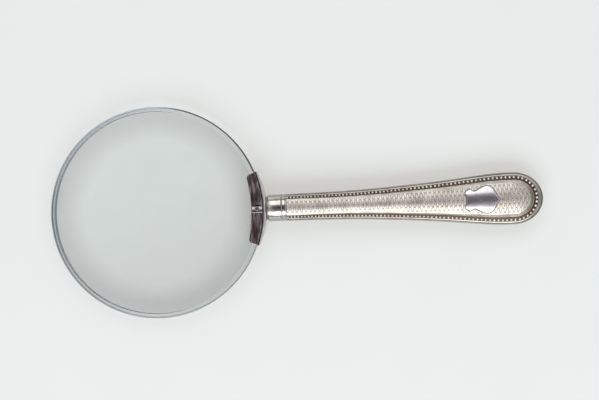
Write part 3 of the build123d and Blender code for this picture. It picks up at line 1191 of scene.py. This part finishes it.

# Its sides colour is painted shade on the low flanks of the ferrule and reeds.
bright_silver = metal(
    "bright_silver", clean=(0.76, 0.74, 0.71), dull=(0.34, 0.29, 0.26), polish=(0.08, 0.18),
    dents=0.014, scratches=0.0015, brushed=ALONG, patina_and_shade=(0.14, 0.12, 0.10), sides=(0.42, 0.42, 0.395),
)
bead_silver = metal(
    "bead_silver", clean=(0.96, 0.94, 0.90), dull=(0.50, 0.44, 0.38), polish=(0.34, 0.46), scratches=0.001,
)
# Its darker colour is patina in the channel and grooves, and painted shade on the outer roll, seam and tip.
soft_silver = metal(
    "soft_silver", clean=(0.80, 0.76, 0.70), dull=(0.46, 0.39, 0.33), polish=(0.40, 0.50),
    dents=0.01, scratches=0.006, brushed=ALONG, patina_and_shade=(0.110, 0.082, 0.062),
)
# The plate's faint blue is a painted reflection.
plate_silver = metal(
    "plate_silver", clean=(0.80, 0.79, 0.84), dull=(0.44, 0.41, 0.44), polish=(0.14, 0.24),
    scratches=0.001, brushed=ALONG,
)
# The recessed washer's dark colour is patina and painted shade in the recess.
dark_groove = metal(
    "dark_groove", clean=(0.30, 0.28, 0.26), dull=(0.10, 0.08, 0.07), polish=(0.35, 0.55),
    dents=0.01, scratches=0.004,
)
clasp_metal = metal(
    "clasp_metal", clean=(0.61, 0.55, 0.535), dull=(0.26, 0.19, 0.18), polish=(0.04, 0.42),
    dents=0.010, scratches=0.004, brushed=ROUND_CLASP, patina_and_shade=(0.06, 0.045, 0.04),
)
strap_metal = metal(
    "strap_metal", clean=(0.40, 0.37, 0.37), dull=(0.24, 0.20, 0.20), polish=(0.22, 0.36),
    dents=0.006, scratches=0.003,
)
saddle_metal = metal(
    "saddle_metal", clean=(0.68, 0.65, 0.69), dull=(0.36, 0.31, 0.31), polish=(0.16, 0.30),
    dents=0.004, scratches=0.001, brushed=ROUND_CLASP,
)
steel = metal(
    "tang_steel", clean=(0.42, 0.41, 0.40), dull=(0.20, 0.15, 0.12), polish=(0.35, 0.55),
    dents=0.01, scratches=0.01, brushed=ALONG,
)
pitch = dull_stuff(
    "pitch", light=(0.060, 0.045, 0.035), dark=(0.025, 0.018, 0.014), size=0.9, roughness=0.45, height=0.03,
)
fibre = dull_stuff(
    "fibre", light=(0.32, 0.16, 0.10), dark=(0.20, 0.09, 0.055), size=0.3, roughness=0.8, height=0.01,
)
packing = dull_stuff(
    "packing", light=(0.19, 0.14, 0.11), dark=(0.09, 0.065, 0.05), size=0.35, roughness=0.85, height=0.02,
)
# The ground edge is painted in shade towards the upper right.
ground_edge = ground_glass(
    "ground_edge", light=(0.62, 0.66, 0.70), dark=(0.015, 0.015, 0.015),
    facing=SHADED_SIDE, reach=(0.78, 0.88), roughness=0.45, passes=0.50,
)
# The bevel is painted in a blue-grey shade towards the upper left.
ground_bevel = ground_glass(
    "ground_bevel", light=(0.78, 0.81, 0.82), dark=(0.25, 0.32, 0.39),
    facing=LEFT_AND_UP, reach=(-0.25, 0.85), roughness=0.25, passes=0.65,
)

lens = make_lens()
for material in (lens_glass(), ground_edge, ground_bevel):
    lens.data.materials.append(material)
jaws = make_jaws()
straps = make_straps()
rivet = make_rivet()
saddle = make_saddle()
ferrule, reeds, washer = make_neck()
ribs = all_ribs()
shells = make_shells(ribs)
beads = make_beads(ribs)
shields = make_shields()
painted = {
    clasp_metal: jaws,
    strap_metal: straps + [rivet],
    saddle_metal: [saddle],
    bright_silver: [ferrule] + reeds,
    bead_silver: beads,
    soft_silver: shells,
    plate_silver: shields,
    dark_groove: [washer],
    steel: [nodes["tang"]],
    pitch: [nodes["handle_filling"]],
    fibre: [nodes["rivet_bush"]],
    packing: [nodes["front_lining"], nodes["back_lining"], nodes["edge_lining"]],
}
for material, pieces in painted.items():
    for piece in pieces:
        piece.data.materials.clear()
        piece.data.materials.append(material)
